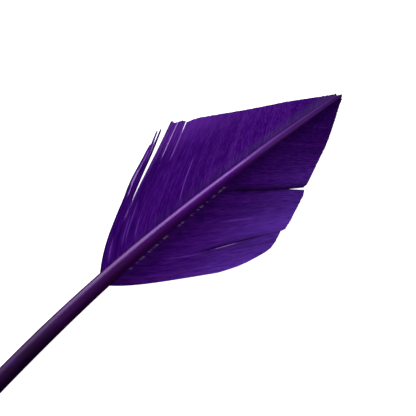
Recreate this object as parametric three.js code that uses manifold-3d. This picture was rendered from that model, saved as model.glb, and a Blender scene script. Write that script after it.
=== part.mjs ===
// Dyed quill feather with a stripped lower shaft and a trimmed vane, lying flat with its ribbed side up.
// Millimetres. x runs from the bare end to the tip, +y is the left vane's side, z is up from the surface.
import * as THREE from 'three';
import { mergeVertices } from 'three/addons/utils/BufferGeometryUtils.js';
import Module from 'manifold-3d';

// Lengths, and where the vane's base sits from the middle of the whole feather
const VANE_LENGTH = 90;
const BARE_LENGTH = 110;
const VANE_BASE_X = 10;
const VANE_BASE_Y = -0.6;

// Gentle sideways bend of the shaft, and how far its two ends rise off the surface
const BEND_RADIUS = 640;
const BEND_PEAK_X = 50;
const BEND_PEAK_Y = 1.2;
const TIP_LIFT = 2.2;
const END_LIFT = 0.8;
const END_LIFT_FROM = 0.7;

// Shaft section
const WIDTH_AT_VANE = 4.7;
const WIDTH_AT_TIP = 1.5;
const WIDTH_AT_END = 2.8;
const TAPER_POWER = 1.1;
const SWELL = 0.95;
const HEIGHT_RATIO = 0.93;
const LEFT_SLANT = 1.5;
const RIGHT_SLANT = 0.7;
const SLANT_LENGTH = 4;
const PIT_DEPTH = 2.5;
const SHAFT_SIDES = 12;
const SHAFT_STEPS = 80;

// Vane sheet: locks of barbs along the shaft, each a ridge between two valleys
const LOCKS_PER_VANE = 26;
const ROWS_ALONG_BARB = 12;
const FIRST_ROOT = 0.3;
const SHORTEST_RUN = 0.3;
const LONGEST_RUN = 60;
const VALLEY_THICKNESS = 0.3;
const RIDGE_THICKNESS = 0.6;
const ROOT_SPREAD = 0.86;
const ROOT_GAP = 0.28;
const ROOT_LEVEL = 0.15;
const DROP_REACH = 12;
const RISE_FROM = 9;
const RISE_OVER = 10;

// Each vane: its side, last barb, how its barbs sweep, where scissors cut it, its height, waves and splits
// A sweep value is [at the vane's base, towards the tip], blended over the settle length.
// Level is the share of the shaft's lift that the vane keeps away from the shaft.
// A split is [root beside it, run where it opens, run where it is full, width, root where its push ends].
const LEFT = {
  side: 1,
  lastRoot: 87.8,
  slope: [0.45, 0.59],
  spring: [5.2, 1.7],
  springReach: [8, 4],
  settle: 12,
  curl: 0,
  cut: [[0, 24.8], [44.9, 24.8], [45.2, 23.8], [47.5, 23], [48.4, 21.8], [52, 20.6], [64, 14.2], [76, 8.2],
    [88, 1.5], [90, 0.3]],
  level: 1,
  wave: 0.4,
  wavelength: 40,
  trough: 17.8,
  rise: 0.2,
  splits: [[7, 13, 33, 3.6, -4.7], [17.8, 26, 29.5, 0.65, 13]],
};
const RIGHT = {
  side: -1,
  lastRoot: 88.6,
  slope: [0.52, 0.7],
  spring: [2.05, 2.3],
  springReach: [6, 6],
  settle: 45,
  curl: 0.009,
  cut: [[0, 19.7], [27.5, 19.7], [31, 21], [34, 22], [37, 22.7], [40, 23.2], [43, 23.6], [45, 23.6],
    [47.5, 22.9], [50.5, 21.4], [52, 21.7], [55, 20.6], [62.5, 17.1], [63.5, 16.2], [64, 15.2], [65.5, 15.1],
    [76, 9.9], [79, 8.2], [88, 1.9], [90, 0.5]],
  level: 0,
  wave: 0.5,
  wavelength: 28.4,
  trough: 2,
  rise: 1.1,
  splits: [[19.2, 28, 32, 0.3, 12], [44, 16.5, 20, 1.2, 34]],
};
const CURL_FROM = 27.5;
const SPLIT_START_WIDTH = 0.05;
const SPLIT_OVERRUN = 5;
const SPLIT_STEPS = 10;
const SPLIT_HEIGHT = 8;

const { lerp, clamp, smoothstep } = THREE.MathUtils;
const manifold = await Module();
manifold.setup();

// Sideways place of the shaft's centre line
function shaftY(x) {
  return BEND_PEAK_Y - (x - BEND_PEAK_X) ** 2 / (2 * BEND_RADIUS);
}

// Height of the shaft's underside above the surface
function shaftLift(x) {
  if (x > 0) return TIP_LIFT * (x / VANE_LENGTH) ** 2;
  const past = clamp((-x / BARE_LENGTH - END_LIFT_FROM) / (1 - END_LIFT_FROM), 0, 1);
  return END_LIFT * past ** 2;
}

// Full width of the shaft, widest in the bare part
function shaftWidth(x) {
  if (x >= 0) return WIDTH_AT_VANE - (WIDTH_AT_VANE - WIDTH_AT_TIP) * (x / VANE_LENGTH) ** TAPER_POWER;
  const along = -x / BARE_LENGTH;
  return WIDTH_AT_VANE + SWELL * Math.sin(Math.PI * along) - (WIDTH_AT_VANE - WIDTH_AT_END) * along ** 4;
}

// Moves every vertex of a plain geometry by a rule, and welds what meets
function reshape(geometry, rule) {
  const position = geometry.getAttribute('position');
  const point = new THREE.Vector3();
  for (let i = 0; i < position.count; i++) {
    point.fromBufferAttribute(position, i);
    rule(point);
    position.setXYZ(i, point.x, point.y, point.z);
  }
  geometry.deleteAttribute('normal');
  geometry.deleteAttribute('uv');
  return mergeVertices(geometry, 1e-4);
}

// A twelve-sided tube standing on one of its flats, bent and tapered, with a hollow at the bare end
// and a tip cut to a point by the two scissors' lines
function makeShaft() {
  const facet = Math.PI / SHAFT_SIDES;
  const flat = Math.cos(facet);
  const tube = new THREE.CylinderGeometry(1, 1, 1, SHAFT_SIDES, SHAFT_STEPS).rotateY(facet);
  return reshape(tube, (p) => {
    const x = lerp(-BARE_LENGTH, VANE_LENGTH, p.y + 0.5);
    const half = shaftWidth(x) / 2;
    const onAxis = Math.hypot(p.x, p.z) < 0.5;
    const pit = onAxis && x < 0 ? PIT_DEPTH : 0;
    const nearTip = clamp((x - VANE_LENGTH) / SLANT_LENGTH + 1, 0, 1);
    const cutBack = nearTip * Math.max(LEFT_SLANT * p.z, -RIGHT_SLANT * p.z);
    p.set(x + pit - cutBack, shaftY(x) + half * p.z, shaftLift(x) + half * HEIGHT_RATIO * (flat + p.x));
  });
}

// Where the scissors' line lies at x, as a distance from the vane's axis
function cutAt(cut, x) {
  const next = cut.findIndex((corner) => corner[0] > x);
  if (next < 0) return cut[cut.length - 1][1];
  const [x0, y0] = cut[next - 1];
  const [x1, y1] = cut[next];
  return lerp(y0, y1, (x - x0) / (x1 - x0));
}

// How wide a split is after a run along its barb
function splitWidth([, opens, full, width], run) {
  return width * clamp((run - opens) / (full - opens), 0, 1);
}

// How far the splits push a barb on their base side back towards the base
function pushedBack(vane, root, run) {
  let push = 0;
  for (const split of vane.splits) {
    const [at, , , , fades] = split;
    const share = root < at ? clamp((root - fades) / (at - fades), 0, 1) : 0;
    push += share * splitWidth(split, run);
  }
  return push;
}

// A point on the barb that leaves the shaft at root, after a run along x
function barbPoint(vane, root, run) {
  const settled = 1 - Math.exp(-root / vane.settle);
  const slope = lerp(...vane.slope, settled);
  const spring = lerp(...vane.spring, settled) * (1 - Math.exp(-run / lerp(...vane.springReach, settled)));
  const out = slope * run + spring - vane.curl * Math.max(0, run - CURL_FROM) ** 2;
  const fromShaft = ROOT_SPREAD * shaftWidth(root) / 2 + ROOT_GAP;
  const x = root + run - pushedBack(vane, root, run);
  return { x, y: shaftY(root) + vane.side * (fromShaft + out), out };
}

// The run at which a barb meets the cut, found by halving
function barbRun(vane, root) {
  let low = SHORTEST_RUN;
  let high = LONGEST_RUN;
  for (let i = 0; i < 30; i++) {
    const middle = (low + high) / 2;
    const p = barbPoint(vane, root, middle);
    if (vane.side * p.y > cutAt(vane.cut, p.x)) high = middle;
    else low = middle;
  }
  return low;
}

// Height of the vane's underside: from the shaft's flank to the surface, with shallow waves and a cupped edge
function underside(vane, root, out) {
  const drop = smoothstep(out, 0, DROP_REACH);
  const lift = shaftLift(root) * lerp(1, vane.level, drop);
  const atRoot = ROOT_LEVEL * shaftWidth(root) * HEIGHT_RATIO - VALLEY_THICKNESS / 2;
  const phase = 2 * Math.PI * (root - vane.trough) / vane.wavelength;
  const rise = vane.rise * (Math.max(0, out - RISE_FROM) / RISE_OVER) ** 2;
  return lift + atRoot * (1 - drop) + vane.wave * drop * (1 - Math.cos(phase)) / 2 + rise;
}

// A box of columns and rows laid out along the barbs
function makeSheet(vane) {
  const columns = 2 * LOCKS_PER_VANE;
  const box = new THREE.BoxGeometry(1, 1, 1, columns, ROWS_ALONG_BARB, 1);
  return reshape(box, (p) => {
    const column = Math.round((p.x + 0.5) * columns);
    const root = lerp(FIRST_ROOT, vane.lastRoot, column / columns);
    const run = barbRun(vane, root) * (0.5 + vane.side * p.y);
    const onBarb = barbPoint(vane, root, run);
    const thickness = column % 2 ? RIDGE_THICKNESS : VALLEY_THICKNESS;
    const z = underside(vane, root, onBarb.out) + (p.z > 0 ? thickness : 0);
    p.set(onBarb.x, onBarb.y, z);
  });
}

// A wedge that follows one barb and opens towards the base side, for cutting a split
function makeWedge(vane, split) {
  const [root, opens] = split;
  const overrun = barbRun(vane, root) + SPLIT_OVERRUN;
  const box = new THREE.BoxGeometry(1, 1, SPLIT_HEIGHT, 1, SPLIT_STEPS, 1);
  return reshape(box, (p) => {
    const run = lerp(opens, overrun, 0.5 + vane.side * p.y);
    const opening = SPLIT_START_WIDTH + splitWidth(split, run);
    const onBarb = barbPoint(vane, root, run);
    p.set(onBarb.x - opening * (0.5 - p.x), onBarb.y, p.z);
  });
}

function toSolid(geometry) {
  return new manifold.Manifold(new manifold.Mesh({
    numProp: 3,
    vertProperties: new Float32Array(geometry.getAttribute('position').array),
    triVerts: new Uint32Array(geometry.index.array),
  }));
}

function fromSolid(solid) {
  const mesh = solid.getMesh();
  const geometry = new THREE.BufferGeometry();
  geometry.setAttribute('position', new THREE.BufferAttribute(mesh.vertProperties, 3));
  geometry.setIndex(new THREE.BufferAttribute(mesh.triVerts, 1));
  return geometry;
}

function makeVane(vane) {
  let solid = toSolid(makeSheet(vane));
  for (const split of vane.splits) {
    solid = solid.subtract(toSolid(makeWedge(vane, split)));
  }
  return fromSolid(solid);
}

function addPiece(group, name, geometry, material) {
  geometry.computeVertexNormals();
  const mesh = new THREE.Mesh(geometry, material);
  mesh.name = name;
  group.add(mesh);
}

const shaftMaterial = new THREE.MeshStandardMaterial({ color: 0x3a0c50, roughness: 0.35, metalness: 0 });
const vaneMaterial = new THREE.MeshStandardMaterial({ color: 0x3c1268, roughness: 0.7, metalness: 0 });

const feather = new THREE.Group();
feather.position.set(VANE_BASE_X, VANE_BASE_Y, 0);
addPiece(feather, 'shaft', makeShaft(), shaftMaterial);
addPiece(feather, 'left_vane', makeVane(LEFT), vaneMaterial);
addPiece(feather, 'right_vane', makeVane(RIGHT), vaneMaterial);

export default feather;
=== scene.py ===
"""Dyed quill feather on a pale surface: shaft and every barb as mesh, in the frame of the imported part."""
import math

import bpy
import numpy as np
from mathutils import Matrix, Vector


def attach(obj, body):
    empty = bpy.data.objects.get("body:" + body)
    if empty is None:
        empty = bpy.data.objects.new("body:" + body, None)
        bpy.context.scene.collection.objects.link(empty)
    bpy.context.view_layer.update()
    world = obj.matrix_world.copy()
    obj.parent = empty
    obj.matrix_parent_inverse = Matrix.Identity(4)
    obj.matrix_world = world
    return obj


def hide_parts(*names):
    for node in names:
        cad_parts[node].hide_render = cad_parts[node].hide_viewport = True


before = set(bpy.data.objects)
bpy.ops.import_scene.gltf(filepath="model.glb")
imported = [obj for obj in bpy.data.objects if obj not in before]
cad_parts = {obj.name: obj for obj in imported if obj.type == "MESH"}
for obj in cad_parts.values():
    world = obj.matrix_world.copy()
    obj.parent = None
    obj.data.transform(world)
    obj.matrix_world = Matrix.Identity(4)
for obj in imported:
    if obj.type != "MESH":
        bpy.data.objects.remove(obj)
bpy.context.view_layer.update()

# Shape of the feather, in millimetres from the vane's base, as in the solids
MM = 0.001
VANE_LENGTH = 90.0
BARE_LENGTH = 110.0
HALF_LENGTH = (BARE_LENGTH + VANE_LENGTH) / 2.0 * MM
VANE_BASE = np.array([10.0, -0.6, 0.0])
BEND_RADIUS = 640.0
BEND_PEAK_X = 50.0
BEND_PEAK_Y = 1.2
TIP_LIFT = 2.2
END_LIFT = 0.8
END_LIFT_FROM = 0.7
WIDTH_AT_VANE = 4.7
WIDTH_AT_TIP = 1.5
WIDTH_AT_END = 2.8
TAPER_POWER = 1.1
END_TAPER_POWER = 4
SWELL = 0.95
HEIGHT_RATIO = 0.9
LEFT_SLANT = 1.5
RIGHT_SLANT = 0.7
SLANT_LENGTH = 4.0
ROOT_SPREAD = 0.86
ROOT_GAP = 0.28
ROOT_LEVEL = 0.15
DROP_REACH = 12.0
RISE_FROM = 9.0
RISE_OVER = 10.0
CURL_FROM = 27.5
FIRST_ROOT = 0.0
SHORTEST_RUN = 0.3
LONGEST_RUN = 60.0
HALF_SHEET = 0.2

# Each vane: its barbs' sweep as (at base, towards tip), the scissors' line, heights, and how its barbs part.
# Level is the share of the shaft's lift that the vane keeps away from the shaft.
# A parting is (root, run where it opens, run where it is full, width, root where its push on barbs ends).
# A lean is (root, how far it moves up the feather, run where it starts, run it takes, span of its fade).
# A crease is (root, dip beyond it, lift before it, run where it starts, is full and eases, shade, span).
# A wisp is (first root, last root, root that it gathers to, how far its tip reaches).
# A pale or highlight line, partly painted highlights on raised barb edges, or a shadow line, is
# (root, first run, last run, how strong).
# The other looks run from the vane's base to its tip. Wear and sheen is how pale the barbs turn from a given
# share of their length to their ends, partly worn paler and partly painted sheen. Shade along is painted
# shade laid over the dye, gap shade is painted shade in the gap beside the shaft, painted sheen is a greyer
# sheen painted beside the shaft, tone is the dye's shade, and streaks is how much the shade varies.
FRAYED_UNTIL = 5.8
LEFT = {
    "side": 1,
    "last_root": 88.4,
    "slope": (0.45, 0.59),
    "spring": (5.2, 1.7),
    "spring_reach": (8.0, 4.0),
    "settle": 12.0,
    "curl": 0.0,
    "cut": (
        (0, 24.8), (44.9, 24.8), (45.2, 23.8), (47.5, 23.0), (48.4, 21.8), (50, 21.4),
        (52, 20.6), (64, 14.2), (76, 8.2), (88, 1.5), (90, 0.3),
    ),
    "level": 1.0,
    "wave": 0.4,
    "wavelength": 40.0,
    "trough": 17.8,
    "rise": 0.2,
    "partings": ((FRAYED_UNTIL, 13.0, 40.0, 3.6, -5.0), (17.8, 26.0, 29.5, 0.65, 13.0)),
    "leans": ((FRAYED_UNTIL, 1.2, 14.0, 19.0, 5.0),),
    "creases": (),
    "wisps": ((-0.2, 2.4, 0.9, 23.4), (2.4, 4.2, 0.9, 25.7), (4.2, FRAYED_UNTIL, 5.0, 24.9)),
    # Pale lines, partly painted highlights on raised barb edges
    "pale_and_highlight_lines": (
        (1.9, 18.0, 36.0, 0.85), (1.4, 22.0, 30.0, 0.8), (3.9, 28.0, 42.0, 0.85),
        (2.9, 0.5, 7.0, 0.55), (5.3, 9.0, 15.0, 0.6), (5.9, 12.0, 20.0, 0.55),
        (7.5, 2.0, 10.0, 0.4), (9.3, 2.0, 13.0, 0.44), (13.2, 1.0, 7.0, 0.4),
        (6.4, 18.0, 38.0, 0.5), (7.2, 21.0, 38.0, 0.45), (8.0, 24.0, 38.0, 0.4),
        (10.6, 26.0, 38.0, 0.4), (11.8, 23.0, 36.0, 1.0), (14.0, 27.0, 36.0, 0.3),
        (17.5, 19.0, 30.0, 0.6), (30.4, 1.0, 13.5, 0.5),
    ),
    "shadows": (
        (0.2, 18.0, 31.0, 0.6), (2.8, 24.0, 44.0, 0.75), (5.0, 24.0, 42.0, 0.85), (5.5, 26.0, 42.0, 0.5),
    ),
    "root_specks": (),
    # Paler barb ends: partly wear, partly painted sheen
    "wear_and_sheen": (1.3, 1.15, 0.5, 0.1, 0.0),
    "wear_and_sheen_from": 0.64,
    "wear_and_sheen_colour": (108, 44, 172),
    # Painted shade laid over the dye along the vane
    "shade_along": (0.06, 0.0),
    # Painted shade in the gap beside the shaft
    "gap_shade": (0.25, 0.5, 0.1),
    # Painted sheen beside the shaft, greyer towards the tip
    "painted_sheen": (0.0, 0.12, 0.3),
    "tone": (-0.36, -0.2, -0.3),
    "streaks": (1.1, 0.6),
    "seed": 11,
}
RIGHT = {
    "side": -1,
    "last_root": 88.9,
    "slope": (0.52, 0.7),
    "spring": (2.05, 2.3),
    "spring_reach": (6.0, 6.0),
    "settle": 45.0,
    "curl": 0.009,
    "cut": (
        (0, 19.7), (27.5, 19.7), (31, 21.0), (34, 22.0), (37, 22.7), (40, 23.2), (43, 23.6),
        (45, 23.6), (47.5, 22.9), (50.5, 21.4), (52, 21.7), (55, 20.6), (62.5, 17.1), (63.5, 16.2),
        (64, 15.2), (65.5, 15.1), (76, 9.9), (79, 8.2), (88, 1.9), (90, 0.5),
    ),
    "level": 0.0,
    "wave": 0.5,
    "wavelength": 28.4,
    "trough": 2.0,
    "rise": 1.1,
    "partings": ((12.3, 28.0, 32.0, 0.25, 8.0), (44.0, 15.9, 20.8, 1.4, 34.0)),
    "leans": ((12.3, 7.0, 8.0, 24.0, 14.0),),
    "creases": (
        (8.4, 0.25, 0.1, 21.0, 26.0, 33.0, 0.5, 0.9),
        (12.3, 0.5, 0.25, 13.0, 16.5, 24.0, 1.7, 1.1),
        (44.0, 0.5, 0.1, 0.5, 4.0, 22.0, 0.82, 3.2),
    ),
    "wisps": (),
    # Pale lines, partly painted highlights on raised barb edges
    "pale_and_highlight_lines": ((11.6, 6.0, 15.0, 0.4), (12.1, 16.0, 23.0, 0.8), (29.0, 9.0, 18.0, 0.4)),
    "shadows": ((43.7, 0.0, 22.0, 0.6), (43.2, 0.0, 20.0, 0.42), (42.7, 0.0, 14.0, 0.3)),
    "root_specks": (7.0, 45.0),
    # Paler barb ends: partly wear, partly painted sheen
    "wear_and_sheen": (0.9, 0.98, 0.52, 0.0, 0.03),
    "wear_and_sheen_from": 0.14,
    "wear_and_sheen_colour": (101, 57, 178),
    # Painted shade laid over the dye, darkest towards the tip
    "shade_along": (0.0, 0.23, 0.33),
    "gap_shade": (0.0, 0.0),
    "painted_sheen": (0.0, 0.0),
    "tone": (-0.16, -0.32),
    "streaks": (1.0, 0.8),
    "seed": 23,
}

# Where the barbs run, and how unevenly
BARB_SPACING = 0.45
BARB_STATIONS = 26
STATION_POWER = 1.4
ROOT_JITTER = 0.12
END_JITTER = 0.06
HEIGHT_JITTER = 0.02
INNER_BACK = 0.3
INNER_DEPTH = 0.35
SIDE_STEP = 0.02
CUT_STEP = 0.05
LEAST_CUT_STEP = 0.001
HALVINGS = 30
LOCK_BARBS = 4
BAND_BARBS = 22
SPARE_KNOTS = 3

# The barbs' section: a rib and two webs, with an end that follows the cut
BARB_SIDES = 8
BARB_TIPS = 2
WEB_OVERLAP = 0.75
WEB_HALF_MIN = 0.06
WEB_HALF_MAX = 0.3
WEB_HALF_THICKNESS = 0.025
RIB_SHARE = 0.55
RIB_ABOVE = (0.065, 0.045)
RIB_BELOW = (0.08, 0.05)
SHINGLE_TILT = math.radians(5)
ROLL_SPREAD = math.radians(4)
ROLL_OF_BARB = 0.6
ROLL_OF_LOCK = 0.8
MOST_SKEW = 12.0
SKEW_SHARE = 0.2
SKEW_STATIONS = 4
TIP_INSIDE = 0.05
TIP_OUTSIDE = 0.02

# Creases, fine lines, specks, painted shade and sheen, and shades on the barbs
CREASE_FAR = 2.2
CREASE_NEAR = 1.6
CREASE_EASE = 0.6
CREASE_EASE_OVER = 6.0
DARKEST = 0.95
LINE_SPAN = 0.34
LINE_FADE = 2.0
SPECK_SHARE = 0.44
SPECK_STRENGTH = (0.08, 0.6)
SPECK_STATION = 2
SPECK_RING = (0, 1, 1, 1, 0, 0, 0, 0)
# Reach of the painted shade in the gap beside the shaft
GAP_SHADE_REACH = 0.8
# Reach of the painted sheen beside the shaft
PAINTED_SHEEN_REACH = 4.5
TONE_OF_LOCK = 0.06
TONE_OF_BAND = 0.04
TONE_OF_BARB = 0.08

# The wisps of the frayed first lock
WISP_BELLY = 1.1
BELLY_FROM = 19.0
BELLY_UNTIL = 27.0
BELLY_OVER = 6.0
WISP_GATHER = 0.75
WISP_FROM = 30.0
WISP_OVER = 11.0
WISP_WEB = 0.25
MATTED_FROM = 18.0
MATTED_OVER = 10.0
MATTED_TAPER = 0.2
WISP_TAPER = 1.1
WISP_FRAY = 0.5
WISP_TONE = 0.15

# The shaft's section along it, the share of its half width that its left side keeps, its groove and its end
SHAFT_STATIONS = 260
SHAFT_SIDES = 72
SQUARENESS = ((-110, 2.1), (-40, 2.3), (0, 2.15), (30, 1.95), (55, 1.85), (75, 3.0))
LEFT_SHARE = ((-40, 1.0), (-10, 1.03), (8, 1.05), (25, 1.02), (36, 1.0), (46, 0.95), (56, 0.92), (90, 0.9))
GROOVE_DEPTH = 0.06
GROOVE_WIDTH = 0.16
GROOVE_FROM = 45.0
GROOVE_OVER = 25.0
PIT = ((0.0, 0.72), (0.8, 0.6), (2.0, 0.4))
PIT_BOTTOM = 2.5

# Margins of the flat layouts, and the part of its strip that each barb fills
SHAFT_MARGIN = 0.02
BARB_MARGIN = 0.01
INNER_STRIP = 0.02
STRIP_FROM = 0.04
STRIP_TO = 0.96

# Colours as screen values; a list of stops is (place from 0 to 1, value there)
BARB_DYE = ((0.0, (38, 0, 88)), (0.5, (63, 2, 121)), (1.0, (92, 30, 148)))
BARB_STREAKS = (9.0, 130.0, 1.0)
BARB_STREAK_CONTRAST = 1.7
# Patchiness of the barbs' paling towards their ends, partly wear and partly painted sheen
BARB_WEAR_AND_SHEEN = ((0.3, 0.35), (0.7, 1.0))
BARB_GRAIN = (2500.0, 2500.0, 2500.0)
BARB_GLOSS = ((0.3, 0.62), (0.7, 0.78))
BARB_SPECULAR = 0.04
BARB_BUMP = (0.25, 0.00003)
# Greyer colour of the painted sheen beside the shaft
PAINTED_SHEEN_COLOUR = (95, 85, 100)
SHADOW_COLOUR = (14, 0, 30)
# Pale lines, partly painted highlights
PALE_AND_HIGHLIGHT_COLOURS = ((0.5, (140, 75, 210)), (1.0, (220, 170, 255)))
SPECK_COLOUR = (215, 190, 210)
SHAFT_DYE = ((0.25, (52, 0, 70)), (0.5, (62, 0, 84)), (0.8, (76, 2, 103)))
BARE_DYE = ((0.3, (28, 0, 38)), (0.7, (44, 0, 60)))
BARE_SHARE = ((0.4, 1.0), (0.58, 0.0))
SHAFT_TINTS = (
    (((0.58, 0.0), (0.75, 0.8)), (82, 0, 127)),
    (((0.8, 0.0), (0.93, 1.0)), (75, 27, 112)),
    (((0.93, 0.0), (0.99, 1.0)), (60, 14, 92)),
)
SHAFT_STREAKS = (60.0, 900.0, 900.0)
SHAFT_BLOTCHES = (160.0, 500.0, 500.0)
BLOTCH_SHARE = ((0.5, 0.0), (0.75, 0.35))
BLOTCH_COLOUR = (56, 2, 104)
SHAFT_POLISH = ((0.4, 0.44), (0.58, 0.29), (0.7, 0.23), (0.8, 0.22), (0.87, 0.7), (0.92, 1.0))
SHAFT_SCUFFS = ((0.3, 0.0), (0.7, 0.1))
SHAFT_SPECULAR = 0.65
SHAFT_GLINT = (0.66, 0.52, 0.92, 1.0)
SHAFT_BUMP = (0.08, 0.0002)
NOISE_ROUGHNESS = 0.6

# The stage, in metres
FLOOR_HALF = 2.0
FLOOR_LEVEL = -0.0001
FLOOR_GREY = 0.9
LIGHTS_AIM = (0.045, 0.0, 0.0)
CAMERA_PLACE = (0.0475, -0.0032, 0.3485)
CAMERA_TURN = math.radians(-37.53)
CAMERA_LENS = 100.0
CAMERA_SENSOR = 36.0

# Keeps divisions away from zero
TINY = 1e-9


def smoothstep(t):
    t = np.clip(t, 0.0, 1.0)
    return t * t * (3.0 - 2.0 * t)


def unit(v):
    return v / np.maximum(np.linalg.norm(v, axis=-1, keepdims=True), TINY)


def shaft_y(x):
    return BEND_PEAK_Y - (x - BEND_PEAK_X) ** 2 / (2.0 * BEND_RADIUS)


def shaft_lift(x):
    """Height of the shaft's underside above the surface."""
    past = np.clip((-x / BARE_LENGTH - END_LIFT_FROM) / (1.0 - END_LIFT_FROM), 0.0, 1.0)
    return TIP_LIFT * (np.maximum(x, 0.0) / VANE_LENGTH) ** 2 + END_LIFT * past ** 2


def shaft_width(x):
    bare = np.clip(-x / BARE_LENGTH, 0.0, 1.0)
    narrowing = (WIDTH_AT_VANE - WIDTH_AT_END) * bare ** END_TAPER_POWER
    below = WIDTH_AT_VANE + SWELL * np.sin(np.pi * bare) - narrowing
    up = np.clip(x / VANE_LENGTH, 0.0, 1.0)
    above = WIDTH_AT_VANE - (WIDTH_AT_VANE - WIDTH_AT_TIP) * up ** TAPER_POWER
    return np.where(x < 0.0, below, above)


def settled(vane, name, root):
    """A value of the barbs' sweep, which settles from its base value to its tip value."""
    base, tip = vane[name]
    return tip + (base - tip) * np.exp(-root / vane["settle"])


def leaned(vane, root, run):
    """Where a barb seems to come from after a run, where a lock leans towards the tip."""
    for at, amount, starts, takes, fades in vane["leans"]:
        before = np.maximum(root, 0.0) / at
        beyond = np.exp(-np.maximum(root - at, 0.0) / fades)
        root = root + amount * np.where(root < at, before, beyond) * smoothstep((run - starts) / takes)
    return root


def pushed_back(vane, root, run):
    """How far partings push the barbs on their base side back towards the base."""
    push = np.zeros(np.broadcast(root, run).shape)
    for at, opens, full, width, fades in vane["partings"]:
        share = np.where(root < at, np.clip((root - fades) / (at - fades), 0.0, 1.0), 0.0)
        push = push + share * width * np.clip((run - opens) / (full - opens), 0.0, 1.0)
    return push


def barb_plan(vane, root, run):
    """Plan position of a barb after a run along x, and its distance out from its root."""
    start = leaned(vane, root, run)
    spring = settled(vane, "spring", start) * (1.0 - np.exp(-run / settled(vane, "spring_reach", start)))
    curl = vane["curl"] * np.maximum(run - CURL_FROM, 0.0) ** 2
    out = settled(vane, "slope", start) * run + spring - curl
    from_shaft = ROOT_SPREAD * shaft_width(start) / 2.0 + ROOT_GAP
    x = start + run - pushed_back(vane, root, run)
    return x, shaft_y(start) + vane["side"] * (from_shaft + out), out


def run_to_cut(vane, root):
    """Run at which each barb meets the scissors' line, found by halving."""
    cut_x, cut_y = np.array(vane["cut"]).T
    low = np.full_like(root, SHORTEST_RUN)
    high = np.full_like(root, LONGEST_RUN)
    for _ in range(HALVINGS):
        middle = (low + high) / 2.0
        x, y, _out = barb_plan(vane, root, middle)
        beyond = vane["side"] * y > np.interp(x, cut_x, cut_y)
        high = np.where(beyond, middle, high)
        low = np.where(beyond, low, middle)
    return low


def crease_height(vane, root, run):
    """How far creases lift the barbs before them and lower those beyond."""
    height = np.zeros(np.broadcast(root, run).shape)
    for at, dip, step, starts, full, eases, _shade, _span in vane["creases"]:
        near = step * np.exp(-np.maximum(at - root, 0.0) / CREASE_NEAR)
        far = -dip * np.exp(-np.maximum(root - at, 0.0) / CREASE_FAR)
        eased = 1.0 - CREASE_EASE * smoothstep((run - eases) / CREASE_EASE_OVER)
        depth = smoothstep((run - starts) / (full - starts)) * eased
        height = height + np.where(root < at, near, far) * depth
    return height


def vane_height(vane, root, run, out):
    """Height of the vane sheet: from the shaft's flank down, with waves, a cupped edge and creases."""
    drop = smoothstep(out / DROP_REACH)
    lift = shaft_lift(root) * (1.0 + (vane["level"] - 1.0) * drop)
    at_root = ROOT_LEVEL * shaft_width(root) * HEIGHT_RATIO - HALF_SHEET
    phase = 2.0 * np.pi * (root - vane["trough"]) / vane["wavelength"]
    wave = vane["wave"] * (1.0 - np.cos(phase)) / 2.0
    rise = vane["rise"] * (np.maximum(out - RISE_FROM, 0.0) / RISE_OVER) ** 2
    crease = crease_height(vane, root, run)
    return lift + at_root * (1.0 - drop) + wave * drop + rise + crease + HALF_SHEET


def barb_points(vane, root, run):
    """Centre line of barbs in space."""
    x, y, out = barb_plan(vane, root, run)
    return np.stack([x, y, vane_height(vane, root, run, out)], axis=-1)


def make_object(name, points, faces, material, smooth, uvs, attributes):
    """A mesh object in the part's frame from points in millimetres."""
    mesh = bpy.data.meshes.new(name)
    mesh.from_pydata(((points + VANE_BASE) * MM).tolist(), [], faces)
    layer = mesh.uv_layers.new(name="OFBake")
    layer.data.foreach_set("uv", np.asarray(uvs, dtype=np.float32).ravel())
    for key, values in attributes.items():
        attribute = mesh.attributes.new(key, "FLOAT", "POINT")
        attribute.data.foreach_set("value", np.asarray(values, dtype=np.float32).ravel())
    mesh.polygons.foreach_set("use_smooth", [smooth] * len(mesh.polygons))
    mesh.materials.append(material)
    mesh.update()
    piece = bpy.data.objects.new(name, mesh)
    bpy.context.scene.collection.objects.link(piece)
    return piece


def ring_faces(count, sides, first, flip):
    """Faces of a closed tube of rings with a point at each end; the points follow the rings."""
    start_tip = first + count * sides
    end_tip = start_tip + 1
    last = first + (count - 1) * sides
    faces = []
    for side in range(sides):
        after = (side + 1) % sides
        faces.append((start_tip, first + after, first + side))
        for ring in range(first, last, sides):
            faces.append((ring + side, ring + after, ring + sides + after, ring + sides + side))
        faces.append((end_tip, last + side, last + after))
    if flip:
        faces = [face[::-1] for face in faces]
    return faces


def ring_uvs(along, sides, low, high, flip):
    """Flat layout of the faces of ring_faces: along runs across, the ring goes from low to high."""
    uvs = []
    before = along[0] / 2.0
    beyond = (along[-1] + 1.0) / 2.0
    for side in range(sides):
        v0 = low + (high - low) * side / sides
        v1 = low + (high - low) * (side + 1) / sides
        middle = (v0 + v1) / 2.0
        corners = [[(before, middle), (along[0], v1), (along[0], v0)]]
        for u0, u1 in zip(along[:-1], along[1:]):
            corners.append([(u0, v0), (u0, v1), (u1, v1), (u1, v0)])
        corners.append([(beyond, middle), (along[-1], v0), (along[-1], v1)])
        for face in corners:
            uvs.extend(face[::-1] if flip else face)
    return uvs


def wisps_of(vane, roots):
    """For each root: where its wisp gathers, the wisp's middle and its reach, endless outside the wisps."""
    gathers = roots.copy()
    middle = roots.copy()
    reach = np.full_like(roots, np.inf)
    for first, last, tip_root, far in vane["wisps"]:
        inside = (roots >= first) & (roots < last)
        gathers[inside] = tip_root
        middle[inside] = (first + last) / 2.0
        reach[inside] = far
    return gathers, middle, reach


def smooth_noise(rng, count, every):
    """Random values of about unit spread that change smoothly over a number of barbs."""
    knots = rng.normal(0.0, 1.0, count // every + SPARE_KNOTS)
    return np.interp(np.arange(count) / every, np.arange(len(knots)), knots)


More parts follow.
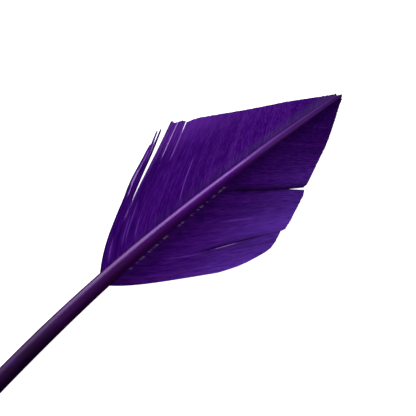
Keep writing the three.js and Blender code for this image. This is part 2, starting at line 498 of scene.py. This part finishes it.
def along_vane(values, roots):
    """A value that runs through the given ones, evenly spread from the vane's base to its tip."""
    return np.interp(roots, np.linspace(0.0, VANE_LENGTH, len(values)), values)


def beside_shaft(values, roots, length, reach):
    """A value along the vane that fades out away from the shaft."""
    return along_vane(values, roots)[:, None] * (1.0 - smoothstep(length / reach))


def fine_lines(lines, roots, run):
    """How strongly each station belongs to a fine line along a barb."""
    drawn = np.zeros_like(run)
    for at, first, last, strength in lines:
        nearest = roots[np.abs(roots - at).argmin()]
        beside = np.exp(-((roots - nearest) / LINE_SPAN) ** 2)
        window = smoothstep((run - first) / LINE_FADE) * smoothstep((last - run) / LINE_FADE)
        drawn = np.maximum(drawn, strength * beside[:, None] * window)
    return drawn


def crease_shade(vane, roots, run):
    """How much painted shade lies on the barbs just beyond each crease."""
    shade = np.zeros_like(run)
    for at, _dip, _step, starts, full, eases, strength, span in vane["creases"]:
        past = roots - at
        beyond = np.exp(-np.maximum(past, 0.0) / span) * (past > 0.0)
        eased = 1.0 - smoothstep((run - eases) / CREASE_EASE_OVER)
        window = smoothstep((run - starts) / (full - starts)) * eased
        shade = np.maximum(shade, strength * beyond[:, None] * window)
    return np.minimum(shade, DARKEST)


def specks(rng, vane, roots):
    """Bits of bare rib where the dye did not take, next to the shaft, for each point of each barb."""
    strength = np.zeros((len(roots), BARB_STATIONS, BARB_SIDES))
    if vane["root_specks"]:
        first, last = vane["root_specks"]
        chosen = (roots > first) & (roots < last) & (rng.random(len(roots)) < SPECK_SHARE)
        bare = rng.uniform(*SPECK_STRENGTH, len(roots)) * chosen
        strength[:, SPECK_STATION] = bare[:, None] * SPECK_RING
    return np.pad(strength.reshape(len(roots), -1), ((0, 0), (0, BARB_TIPS)))


def vane_roots(rng, vane):
    """Where the barbs leave the shaft, in millimetres from the vane's base."""
    count = int((vane["last_root"] - FIRST_ROOT) / BARB_SPACING)
    even = np.linspace(FIRST_ROOT, vane["last_root"], count)
    return even + rng.uniform(-ROOT_JITTER, ROOT_JITTER, count) * BARB_SPACING


def barb_runs(rng, vane, roots):
    """How far each barb runs along x: to the cut, or to the end of its wisp."""
    runs = run_to_cut(vane, roots) + rng.uniform(-END_JITTER, END_JITTER, len(roots))
    _gathers, middle, reach = wisps_of(vane, roots)
    short = (vane["cut"][0][1] - reach) / settled(vane, "slope", roots)
    short = short + WISP_TAPER * np.abs(roots - middle) + rng.uniform(0.0, WISP_FRAY, len(roots))
    return np.maximum(runs - np.where(np.isfinite(reach), short, 0.0), SHORTEST_RUN)


def barb_paths(vane, roots, run, frayed):
    """Points along each barb, from inside the shaft, and the way from each to its neighbour."""
    gathers, _middle, _reach = wisps_of(vane, roots)
    gather = WISP_GATHER * smoothstep((run - WISP_FROM) / WISP_OVER)
    belly = WISP_BELLY * smoothstep((run - BELLY_FROM) / BELLY_OVER)
    belly = belly * (1.0 - smoothstep((run - BELLY_UNTIL) / BELLY_OVER))
    belly = belly * (frayed * (1.0 - roots / FRAYED_UNTIL))[:, None]
    path = roots[:, None] + (gathers - roots)[:, None] * gather - belly
    points = barb_points(vane, path, run)
    beside = (points - barb_points(vane, path - SIDE_STEP, run)) / SIDE_STEP * BARB_SPACING
    half_shaft = shaft_width(roots) / 2.0
    inner = points[:, :1].copy()
    inner[:, 0, 0] -= INNER_BACK * half_shaft
    inner[:, 0, 1] -= vane["side"] * (ROOT_GAP + INNER_DEPTH * half_shaft)
    return np.concatenate([inner, points], axis=1), np.concatenate([beside[:, :1], beside], axis=1)


def barb_axes(vane, points, beside, roll):
    """Each station's directions along the barb, across it and up, with its roll, and the barbs' pitch."""
    tangent = unit(np.gradient(points, axis=1))
    across = beside - (beside * tangent).sum(-1, keepdims=True) * tangent
    pitch = np.linalg.norm(across, axis=-1)
    across = unit(across)
    normal = np.cross(tangent, across) * -vane["side"]
    cosine = np.cos(roll)[:, None, None]
    sine = np.sin(roll)[:, None, None]
    return tangent, across * cosine + normal * sine, normal * cosine - across * sine, pitch


def barb_lengths(points):
    """Length along each barb from where it leaves the shaft, at each station."""
    length = np.linalg.norm(np.diff(points, axis=1), axis=-1).cumsum(axis=1)
    return np.concatenate([np.zeros((len(points), 1)), length - length[:, :1]], axis=1)


def barb_section(run, fade, pitch, frayed):
    """Ring of each station, across and up: a low rib between two webs that reach past the neighbours."""
    matted = frayed[:, None] * smoothstep((run - MATTED_FROM) / MATTED_OVER) * (1.0 - MATTED_TAPER * fade)
    least = np.maximum(WISP_WEB * matted, WEB_HALF_MIN)
    web = np.clip(pitch * WEB_OVERLAP, least, WEB_HALF_MAX)
    rib = web * RIB_SHARE
    above = RIB_ABOVE[0] + (RIB_ABOVE[1] - RIB_ABOVE[0]) * fade
    below = RIB_BELOW[0] + (RIB_BELOW[1] - RIB_BELOW[0]) * fade
    thin = np.full_like(web, WEB_HALF_THICKNESS)
    middle = np.zeros_like(web)
    ring_across = np.stack([-web, -rib, middle, rib, web, web, middle, -web], axis=-1)
    ring_up = np.stack([thin, thin, above, thin, thin, -thin, -below, -thin], axis=-1)
    return ring_across, ring_up


def cut_skew(vane, roots, tangent, across):
    """How far a barb's end slants along it for each unit across it, so that ends line up with the cut."""
    ends = []
    for root in (roots - CUT_STEP, roots + CUT_STEP):
        ends.append(np.stack(barb_plan(vane, root, run_to_cut(vane, root))[:2], axis=-1))
    edge = ends[1] - ends[0]
    along = (edge * tangent[:, :2]).sum(-1)
    beside = (edge * across[:, :2]).sum(-1)
    return along / np.maximum(beside, LEAST_CUT_STEP)


def end_slides(vane, roots, frayed, tangent, across, ring_across, length):
    """How far each ring point slides along its barb towards a slanted end."""
    half_end = ring_across[:, -1].max(axis=-1)
    most = np.minimum(MOST_SKEW, SKEW_SHARE * length[:, -1] / half_end)
    skew = np.clip(cut_skew(vane, roots, tangent[:, -1], across[:, -1]), -most, most) * ~frayed
    ease = np.clip((np.arange(BARB_STATIONS) - BARB_STATIONS + 1) / SKEW_STATIONS + 1.0, 0.0, 1.0)
    return (skew[:, None] * ease)[..., None] * ring_across


def barb_shells(count, share, flip):
    """Faces of all barbs, and their flat layout with a strip for each barb."""
    points_each = BARB_STATIONS * BARB_SIDES + BARB_TIPS
    along = np.concatenate([[0.0], INNER_STRIP + (1.0 - INNER_STRIP) * share])
    along = BARB_MARGIN + (1.0 - 2.0 * BARB_MARGIN) * along
    faces = []
    uvs = []
    for i in range(count):
        low = (i + STRIP_FROM) / count
        high = (i + STRIP_TO) / count
        faces.extend(ring_faces(BARB_STATIONS, BARB_SIDES, i * points_each, flip))
        uvs.extend(ring_uvs(along, BARB_SIDES, low, high, flip))
    return faces, uvs


def vane_looks(rng, vane, roots, run, length, fade, locks, frayed):
    """Shade, wear, lines and specks for each point of each barb."""
    count = len(roots)
    tone = TONE_OF_LOCK * locks + TONE_OF_BAND * smooth_noise(rng, count, BAND_BARBS)
    tone = tone + rng.normal(0.0, TONE_OF_BARB, count)
    tone = tone + frayed * rng.normal(0.0, WISP_TONE, count)
    shade = along_vane(vane["tone"], roots) + along_vane(vane["streaks"], roots) * tone
    # Paling of the barbs towards their ends: partly wear, partly painted sheen
    wear_and_sheen_share = smoothstep((fade - vane["wear_and_sheen_from"]) / (1.0 - vane["wear_and_sheen_from"]))
    dark = np.maximum(crease_shade(vane, roots, run), fine_lines(vane["shadows"], roots, run))
    # Painted shade laid over the dye along the vane
    dark = np.maximum(dark, along_vane(vane["shade_along"], roots)[:, None])
    # Painted shade in the gap beside the shaft
    dark = np.maximum(dark, beside_shaft(vane["gap_shade"], roots, length, GAP_SHADE_REACH))
    station_of = np.concatenate([np.repeat(np.arange(BARB_STATIONS), BARB_SIDES), [0, BARB_STATIONS - 1]])
    return {
        "tone": np.repeat(shade, len(station_of)),
        "wear_and_sheen": (along_vane(vane["wear_and_sheen"], roots)[:, None] * wear_and_sheen_share)[:, station_of],
        "dark": dark[:, station_of],
        "light": fine_lines(vane["pale_and_highlight_lines"], roots, run)[:, station_of],
        # Painted sheen beside the shaft
        "painted_sheen": beside_shaft(vane["painted_sheen"], roots, length, PAINTED_SHEEN_REACH)[:, station_of],
        "speck": specks(rng, vane, roots),
    }


def build_vane(name, vane, material):
    """One vane, with each barb as a closed shell of its own."""
    rng = np.random.default_rng(vane["seed"])
    roots = vane_roots(rng, vane)
    count = len(roots)
    runs = barb_runs(rng, vane, roots)
    frayed = np.isfinite(wisps_of(vane, roots)[-1])
    share = np.linspace(0.0, 1.0, BARB_STATIONS - 1) ** STATION_POWER
    run = runs[:, None] * share
    points, beside = barb_paths(vane, roots, run, frayed)
    run = np.concatenate([np.zeros((count, 1)), run], axis=1)
    points[:, :, 2] += rng.uniform(-HEIGHT_JITTER, HEIGHT_JITTER, count)[:, None]
    locks = smooth_noise(rng, count, LOCK_BARBS)
    roll = SHINGLE_TILT + ROLL_SPREAD * (rng.normal(0.0, ROLL_OF_BARB, count) + ROLL_OF_LOCK * locks)
    tangent, across, normal, pitch = barb_axes(vane, points, beside, roll)

    length = barb_lengths(points)
    fade = np.clip(length / np.maximum(length[:, -1:], TINY), 0.0, 1.0)
    ring_across, ring_up = barb_section(run, fade, pitch, frayed)
    rings = points[:, :, None] + across[:, :, None] * ring_across[..., None]
    rings = rings + normal[:, :, None] * ring_up[..., None]
    slides = end_slides(vane, roots, frayed, tangent, across, ring_across, length)
    rings = rings + tangent[:, :, None] * slides[..., None]
    inner_tips = points[:, 0] - tangent[:, 0] * TIP_INSIDE
    outer_tips = points[:, -1] + tangent[:, -1] * TIP_OUTSIDE
    tips = np.stack([inner_tips, outer_tips], axis=1)
    everything = np.concatenate([rings.reshape(count, -1, 3), tips], axis=1).reshape(-1, 3)
    faces, uvs = barb_shells(count, share, vane["side"] > 0)
    looks = vane_looks(rng, vane, roots, run, length, fade, locks, frayed)
    return make_object(name, everything, faces, material, False, uvs, looks)


def build_shaft(material):
    """The quill as one bent, tapering tube with a pit in its lower end and a tip cut to a point."""
    x = np.linspace(-BARE_LENGTH, VANE_LENGTH, SHAFT_STATIONS)
    half = shaft_width(x) / 2.0
    angle = 2.0 * np.pi * np.arange(SHAFT_SIDES) / SHAFT_SIDES
    cosine = np.cos(angle)
    sine = np.sin(angle)
    power = 2.0 / np.interp(x, *np.array(SQUARENESS).T)
    lateral = np.sign(cosine) * np.abs(cosine) ** power[:, None]
    vertical = np.sign(sine) * np.abs(sine) ** power[:, None]
    left_share = np.interp(x, *np.array(LEFT_SHARE).T)
    lateral = np.where(lateral > 0.0, lateral * left_share[:, None], lateral)
    groove = GROOVE_DEPTH * smoothstep((x - GROOVE_FROM) / GROOVE_OVER)
    dip = np.exp(-(lateral / GROOVE_WIDTH) ** 2) * (sine > 0)
    height = half * HEIGHT_RATIO
    up = height[:, None] * (1.0 + vertical - groove[:, None] * dip)
    near_tip = np.clip((x - VANE_LENGTH) / SLANT_LENGTH + 1.0, 0.0, 1.0)
    cut_back = near_tip[:, None] * np.maximum(LEFT_SLANT * lateral, -RIGHT_SLANT * lateral)
    rings = np.stack([
        x[:, None] - cut_back,
        shaft_y(x)[:, None] + half[:, None] * lateral,
        shaft_lift(x)[:, None] + up,
    ], axis=-1)
    middle = np.array([-BARE_LENGTH, shaft_y(-BARE_LENGTH), shaft_lift(-BARE_LENGTH) + height[0]])
    pit = []
    for depth, scale in reversed(PIT):
        pit.append(middle + (rings[0] - middle) * scale + np.array([depth, 0.0, 0.0]))
    rings = np.concatenate([np.array(pit), rings])
    tips = np.array([middle + [PIT_BOTTOM, 0.0, 0.0], rings[-1].mean(axis=0)])
    everything = np.concatenate([rings.reshape(-1, 3), tips])
    along = np.linspace(SHAFT_MARGIN, 1.0 - SHAFT_MARGIN, len(rings))
    faces = ring_faces(len(rings), SHAFT_SIDES, 0, False)
    uvs = ring_uvs(along, SHAFT_SIDES, SHAFT_MARGIN, 1.0 - SHAFT_MARGIN, False)
    return make_object("quill_shaft", everything, faces, material, True, uvs, {})


def linear(value):
    """Linear part of a colour from a screen value of 0 to 255, by the standard screen curve."""
    share = value / 255.0
    return ((share + 0.055) / 1.055) ** 2.4 if value > 10 else share / 12.92


def srgb(colour):
    """Linear colour from red, green and blue screen values."""
    return tuple(linear(value) for value in colour) + (1.0,)


def grey(level):
    return (level, level, level, 1.0)


def node(tree, kind, **inputs):
    """A shader node with the given values in the inputs of these names."""
    made = tree.nodes.new(kind)
    for key, value in inputs.items():
        made.inputs[key].default_value = value
    return made


def new_material(name):
    material = bpy.data.materials.new(name)
    material.use_nodes = True
    return material, material.node_tree, material.node_tree.nodes["Principled BSDF"]


def attribute(tree, name):
    made = tree.nodes.new("ShaderNodeAttribute")
    made.attribute_name = name
    return made.outputs["Fac"]


def ramp(tree, value, stops):
    """Colours or grey levels along a value, from stops of (place, screen colour or level)."""
    made = tree.nodes.new("ShaderNodeValToRGB")
    elements = made.color_ramp.elements
    while len(elements) < len(stops):
        elements.new(1.0)
    for element, (place, shown) in zip(elements, stops):
        element.position = place
        element.color = srgb(shown) if isinstance(shown, tuple) else grey(shown)
    tree.links.new(value, made.inputs["Fac"])
    return made.outputs["Color"]


def mix_colour(tree, factor, a, b):
    """Two colours mixed by a factor; each is a constant or another node's output."""
    made = tree.nodes.new("ShaderNodeMix")
    made.data_type = "RGBA"
    tree.links.new(factor, made.inputs["Factor"])
    for name, value in (("A", a), ("B", b)):
        socket = next(i for i in made.inputs if i.name == name and i.type == "RGBA")
        if isinstance(value, tuple):
            socket.default_value = value
        else:
            tree.links.new(value, socket)
    return next(o for o in made.outputs if o.type == "RGBA")


def maths(tree, operation, *values):
    """Arithmetic on constants and other nodes' outputs."""
    made = tree.nodes.new("ShaderNodeMath")
    made.operation = operation
    for socket, value in zip(made.inputs, values):
        if isinstance(value, float):
            socket.default_value = value
        else:
            tree.links.new(value, socket)
    return made.outputs["Value"]


def noise(tree, place, stretch, detail):
    """Smooth noise, with the given number of cells along each axis of a place."""
    mapping = node(tree, "ShaderNodeMapping", Scale=stretch)
    tree.links.new(place, mapping.inputs["Vector"])
    made = node(tree, "ShaderNodeTexNoise", Scale=1.0, Detail=detail, Roughness=NOISE_ROUGHNESS)
    tree.links.new(mapping.outputs["Vector"], made.inputs["Vector"])
    return made.outputs["Fac"]


def add_bump(tree, shader, height, bump):
    strength, distance = bump
    made = node(tree, "ShaderNodeBump", Strength=strength, Distance=distance)
    tree.links.new(height, made.inputs["Height"])
    tree.links.new(made.outputs["Normal"], shader.inputs["Normal"])


def vane_material(name, vane):
    """Dyed barbs: streaks along each, then from the attributes wear with painted sheen, painted sheen,
    painted shade, pale lines with painted highlights, and specks.
    """
    material, tree, shader = new_material(name)
    strips = tree.nodes.new("ShaderNodeUVMap")
    strips.uv_map = "OFBake"
    streaks = noise(tree, strips.outputs["UV"], BARB_STREAKS, detail=3.0)
    shade = maths(tree, "MULTIPLY_ADD", streaks, BARB_STREAK_CONTRAST, attribute(tree, "tone"))
    colour = ramp(tree, shade, BARB_DYE)
    # Paler barb ends, partly wear and partly painted sheen, patchy along the streaks
    wear_and_sheen = maths(tree, "MULTIPLY", attribute(tree, "wear_and_sheen"), ramp(tree, streaks, BARB_WEAR_AND_SHEEN))
    colour = mix_colour(tree, wear_and_sheen, colour, srgb(vane["wear_and_sheen_colour"]))
    # Painted sheen beside the shaft
    colour = mix_colour(tree, attribute(tree, "painted_sheen"), colour, srgb(PAINTED_SHEEN_COLOUR))
    colour = mix_colour(tree, attribute(tree, "dark"), colour, srgb(SHADOW_COLOUR))
    # Pale lines, partly painted highlights on raised barb edges
    light = attribute(tree, "light")
    colour = mix_colour(tree, light, colour, ramp(tree, light, PALE_AND_HIGHLIGHT_COLOURS))
    colour = mix_colour(tree, attribute(tree, "speck"), colour, srgb(SPECK_COLOUR))
    tree.links.new(colour, shader.inputs["Base Color"])
    place = tree.nodes.new("ShaderNodeTexCoord").outputs["Object"]
    grain = noise(tree, place, BARB_GRAIN, detail=2.0)
    tree.links.new(ramp(tree, grain, BARB_GLOSS), shader.inputs["Roughness"])
    add_bump(tree, shader, grain, BARB_BUMP)
    shader.inputs["Specular IOR Level"].default_value = BARB_SPECULAR
    return material


def shaft_material():
    """Dyed quill: streaks along it, darker where it is bare, duller towards the tip."""
    material, tree, shader = new_material("dyed_quill")
    place = tree.nodes.new("ShaderNodeTexCoord").outputs["Object"]
    parts = tree.nodes.new("ShaderNodeSeparateXYZ")
    tree.links.new(place, parts.inputs["Vector"])
    reach = tree.nodes.new("ShaderNodeMapRange")
    reach.inputs["From Min"].default_value = -HALF_LENGTH
    reach.inputs["From Max"].default_value = HALF_LENGTH
    tree.links.new(parts.outputs["X"], reach.inputs["Value"])
    along = reach.outputs["Result"]
    streaks = noise(tree, place, SHAFT_STREAKS, detail=4.0)
    dyed = ramp(tree, streaks, SHAFT_DYE)
    colour = mix_colour(tree, ramp(tree, along, BARE_SHARE), dyed, ramp(tree, streaks, BARE_DYE))
    for stops, tint in SHAFT_TINTS:
        colour = mix_colour(tree, ramp(tree, along, stops), colour, srgb(tint))
    blotches = ramp(tree, noise(tree, place, SHAFT_BLOTCHES, detail=3.0), BLOTCH_SHARE)
    colour = mix_colour(tree, blotches, colour, srgb(BLOTCH_COLOUR))
    tree.links.new(colour, shader.inputs["Base Color"])
    scuffs = ramp(tree, streaks, SHAFT_SCUFFS)
    rough = mix_colour(tree, scuffs, ramp(tree, along, SHAFT_POLISH), grey(1.0))
    tree.links.new(rough, shader.inputs["Roughness"])
    add_bump(tree, shader, streaks, SHAFT_BUMP)
    shader.inputs["Specular IOR Level"].default_value = SHAFT_SPECULAR
    shader.inputs["Specular Tint"].default_value = SHAFT_GLINT
    return material


def dress(piece, cad_node):
    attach(piece, "root")
    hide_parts(cad_node)


def add_floor():
    """A pale light table that the camera sees and that throws nothing back."""
    mesh = bpy.data.meshes.new("floor")
    signs = ((-1, -1), (1, -1), (1, 1), (-1, 1))
    corners = [(x * FLOOR_HALF, y * FLOOR_HALF, FLOOR_LEVEL) for x, y in signs]
    mesh.from_pydata(corners, [], [(0, 1, 2, 3)])
    floor = bpy.data.objects.new("floor", mesh)
    material, _tree, shader = new_material("pale_floor")
    shader.inputs["Base Color"].default_value = grey(FLOOR_GREY)
    shader.inputs["Emission Color"].default_value = grey(1.0)
    shader.inputs["Emission Strength"].default_value = 1.0
    mesh.materials.append(material)
    bpy.context.scene.collection.objects.link(floor)
    floor.visible_diffuse = False
    floor.visible_glossy = False


def add_light(name, place, size, power, gloss):
    """A round soft light that shows either in the gloss or in the matt colours."""
    lamp = bpy.data.lights.new(name, "AREA")
    lamp.shape = "DISK"
    lamp.size = size
    lamp.energy = power
    light = bpy.data.objects.new(name, lamp)
    light.location = place
    light.rotation_euler = (Vector(LIGHTS_AIM) - Vector(place)).to_track_quat("-Z", "Y").to_euler()
    light.visible_diffuse = not gloss
    light.visible_glossy = gloss
    light.visible_camera = False
    bpy.context.scene.collection.objects.link(light)


def dark_world():
    """A world that adds no light of its own."""
    world = bpy.data.worlds.new("studio")
    world.use_nodes = True
    world.node_tree.nodes["Background"].inputs["Strength"].default_value = 0.0
    bpy.context.scene.world = world


def add_camera():
    """Straight above the vane, turned so that the shaft runs up to the right."""
    data = bpy.data.cameras.new("camera")
    data.lens = CAMERA_LENS
    data.sensor_width = CAMERA_SENSOR
    camera = bpy.data.objects.new("camera", data)
    camera.location = CAMERA_PLACE
    camera.rotation_euler = (0.0, 0.0, CAMERA_TURN)
    bpy.context.scene.collection.objects.link(camera)
    bpy.context.scene.camera = camera


dress(build_shaft(shaft_material()), "shaft")
left_material = vane_material("dyed_barbs_left", LEFT)
dress(build_vane("left_vane_barbs", LEFT, left_material), "left_vane")
right_material = vane_material("dyed_barbs_right", RIGHT)
dress(build_vane("right_vane_barbs", RIGHT, right_material), "right_vane")
add_floor()
add_light("key", (0.07, 0.5, 0.18), size=0.44, power=3.7, gloss=False)
add_light("sheen", (0.07, 0.5, 0.14), size=0.6, power=4.2, gloss=True)
add_light("fill", (0.045, 0.05, 0.9), size=0.8, power=2.2, gloss=False)
add_light("side", (0.045, -0.45, 0.3), size=0.6, power=0.35, gloss=False)
dark_world()
add_camera()
bpy.context.scene.view_settings.view_transform = "Standard"
